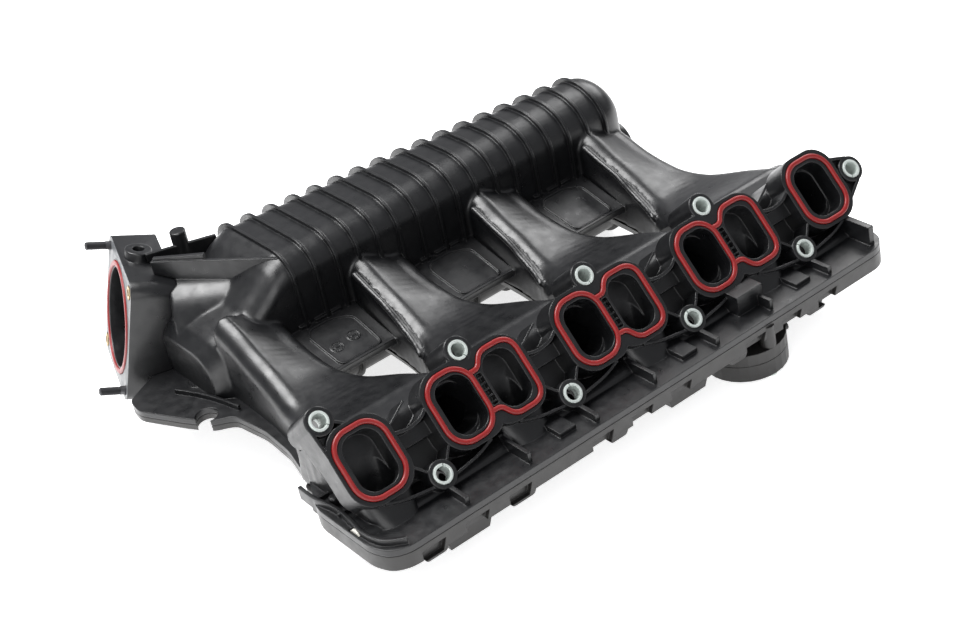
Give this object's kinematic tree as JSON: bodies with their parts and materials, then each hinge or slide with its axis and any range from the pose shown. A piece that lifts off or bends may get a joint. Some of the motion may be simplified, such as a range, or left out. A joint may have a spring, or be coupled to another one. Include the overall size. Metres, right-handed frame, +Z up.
{
  "type": "intake manifold",
  "caption": "Moulded intake manifold: ribbed plenum, side inlet flange, flat runners to an inclined flange of paired ports with red seals, swirl flaps on one shaft and a diaphragm actuator.",
  "frame": {"origin": "middle of the port row, on the face of the port flange", "axes": "+X along the cylinder row away from the inlet, +Y from the port flange towards the plenum, +Z up, square to the weld plane between the two shells"},
  "size_m": [0.4477, 0.3658, 0.1185],
  "materials": {
    "black_nylon": "glass-filled nylon, moulded, satin with soft grey highlights",
    "red_silicone": "moulded silicone, satin",
    "zinc_steel": "bright zinc plate",
    "brass": "knurled brass insert",
    "acetal": "natural acetal",
    "dark_steel": "phosphated steel",
    "steel": "bare steel"
  },
  "bodies": {
    "manifold": {"actuator_can": "black_nylon", "actuator_cover": "black_nylon", "actuator_screw_1": "zinc_steel", "actuator_screw_2": "zinc_steel", "actuator_screw_3": "zinc_steel", "inlet_flange": "black_nylon", "inlet_insert_1": "brass", "inlet_insert_2": "brass", "inlet_seal": "red_silicone", "inlet_stud_1": "dark_steel", "inlet_stud_2": "dark_steel", "lower_shell": "black_nylon", "lower_sleeve_1": "zinc_steel", "lower_sleeve_2": "zinc_steel", "lower_sleeve_3": "zinc_steel", "lower_sleeve_4": "zinc_steel", "port_flange": "black_nylon", "port_seal_1": "red_silicone", "port_seal_2": "red_silicone", "port_seal_3": "red_silicone", "port_seal_4": "red_silicone", "port_seal_5": "red_silicone", "return_spring": "steel", "shaft_bush_1": "acetal", "shaft_bush_2": "acetal", "shaft_bush_3": "acetal", "shaft_bush_4": "acetal", "shaft_bush_5": "acetal", "upper_shell": "black_nylon", "upper_sleeve_1": "zinc_steel", "upper_sleeve_2": "zinc_steel", "upper_sleeve_3": "zinc_steel", "upper_sleeve_4": "zinc_steel", "upper_sleeve_5": "zinc_steel"},
    "flaps": {"flap_screw_1a": "zinc_steel", "flap_screw_1b": "zinc_steel", "flap_screw_2a": "zinc_steel", "flap_screw_2b": "zinc_steel", "flap_screw_3a": "zinc_steel", "flap_screw_3b": "zinc_steel", "flap_screw_4a": "zinc_steel", "flap_screw_4b": "zinc_steel", "flap_shaft": "steel", "shaft_lever": "steel", "swirl_flap_1": "steel", "swirl_flap_2": "steel", "swirl_flap_3": "steel", "swirl_flap_4": "steel"},
    "actuator_rod": {"actuator_rod": "steel"}
  },
  "joints": [
    {"name": "flap_turn", "type": "hinge", "parent": "manifold", "child": "flaps", "pos_m": [0.088, -0.007, -0.0375], "axis": [-1, 0, 0], "range_deg": [0, 80]},
    {"name": "rod_travel", "type": "slide", "parent": "manifold", "child": "actuator_rod", "axis": [0, 0, 1], "range_m": [0, 0.01221], "stiffness_N_per_m": 200}
  ],
  "couplings": [
    {"joint": "flap_turn", "follows": "rod_travel", "rad_per_m": 114.32}
  ]
}
